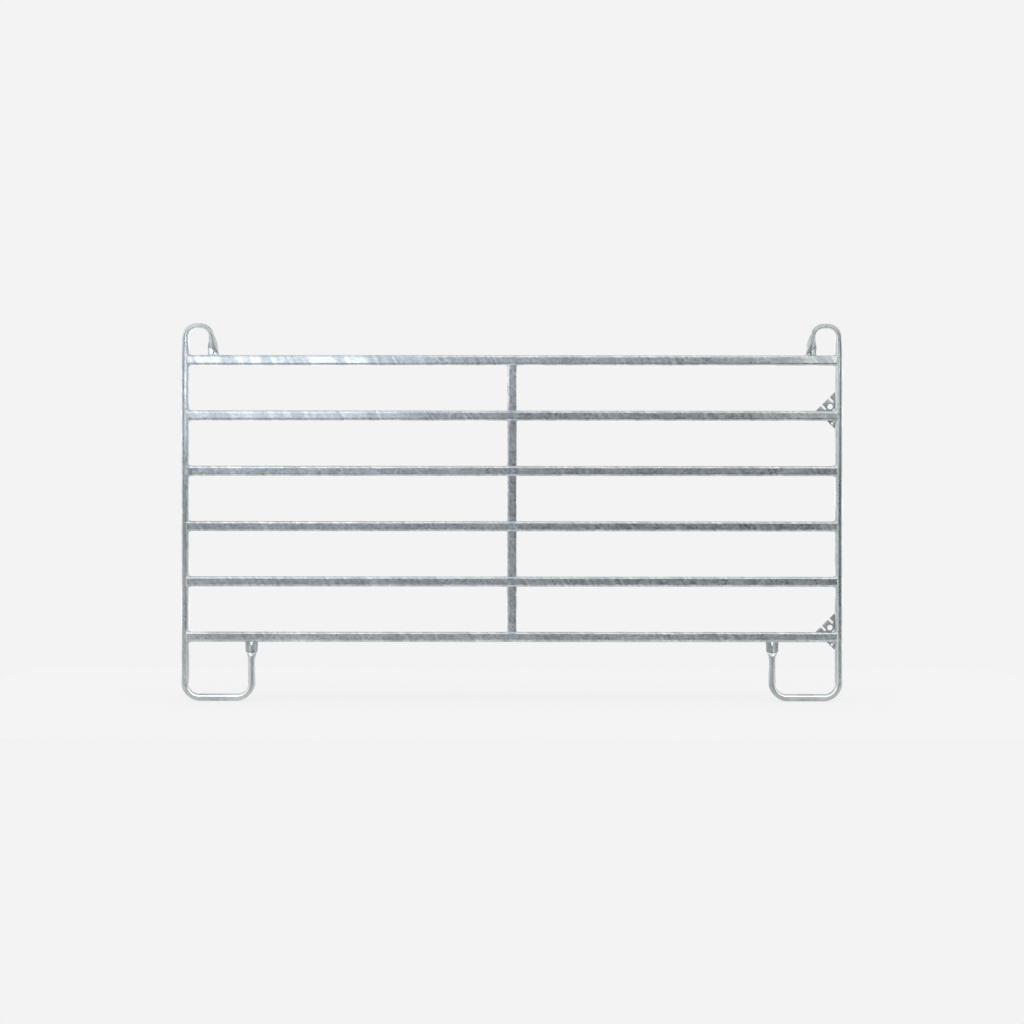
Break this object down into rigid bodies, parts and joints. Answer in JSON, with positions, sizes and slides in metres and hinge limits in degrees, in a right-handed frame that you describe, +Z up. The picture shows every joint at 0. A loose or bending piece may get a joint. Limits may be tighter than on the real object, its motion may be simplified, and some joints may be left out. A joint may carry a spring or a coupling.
{
  "type": "livestock panel",
  "caption": "Galvanised livestock panel: square rails between bent round end tubes with carrying handles and skid feet, a centre upright, and slotted chain plates at one end.",
  "frame": {"origin": "the ground under the middle of the panel, midway between its ends and its faces", "axes": "+X along the panel towards the end with the chain plates, +Y through the panel to its back, +Z up"},
  "size_m": [2.98, 0.051, 1.7],
  "materials": {
    "galvanised_square_tube": "hot-dip galvanised, faint spangle, satin",
    "galvanised_round_tube": "hot-dip galvanised, bright satin",
    "galvanised_plate": "hot-dip galvanised, dull",
    "galvanised_weld": "rippled weld bead under bright zinc"
  },
  "bodies": {
    "root": {"left_end_tube": "galvanised_round_tube", "right_end_tube": "galvanised_round_tube", "rail_1": "galvanised_square_tube", "rail_2": "galvanised_square_tube", "rail_3": "galvanised_square_tube", "rail_4": "galvanised_square_tube", "rail_5": "galvanised_square_tube", "rail_6": "galvanised_square_tube", "upright_1": "galvanised_square_tube", "upright_2": "galvanised_square_tube", "upright_3": "galvanised_square_tube", "upright_4": "galvanised_square_tube", "upright_5": "galvanised_square_tube", "chain_plate_1": "galvanised_plate", "chain_plate_5": "galvanised_plate", "anchor_plate_1": "galvanised_plate", "anchor_plate_5": "galvanised_plate", "left_handle_inner_weld": "galvanised_weld", "left_handle_outer_weld": "galvanised_weld", "left_foot_inner_weld": "galvanised_weld", "left_foot_outer_weld": "galvanised_weld", "rail_1_left_weld": "galvanised_weld", "rail_2_left_weld": "galvanised_weld", "rail_3_left_weld": "galvanised_weld", "rail_4_left_weld": "galvanised_weld", "rail_5_left_weld": "galvanised_weld", "rail_6_left_weld": "galvanised_weld", "right_handle_inner_weld": "galvanised_weld", "right_handle_outer_weld": "galvanised_weld", "right_foot_inner_weld": "galvanised_weld", "right_foot_outer_weld": "galvanised_weld", "rail_1_right_weld": "galvanised_weld", "rail_2_right_weld": "galvanised_weld", "rail_3_right_weld": "galvanised_weld", "rail_4_right_weld": "galvanised_weld", "rail_5_right_weld": "galvanised_weld", "rail_6_right_weld": "galvanised_weld", "upright_1_lower_weld": "galvanised_weld", "upright_1_upper_weld": "galvanised_weld", "upright_2_lower_weld": "galvanised_weld", "upright_2_upper_weld": "galvanised_weld", "upright_3_lower_weld": "galvanised_weld", "upright_3_upper_weld": "galvanised_weld", "upright_4_lower_weld": "galvanised_weld", "upright_4_upper_weld": "galvanised_weld", "upright_5_lower_weld": "galvanised_weld", "upright_5_upper_weld": "galvanised_weld"}
  },
  "joints": []
}
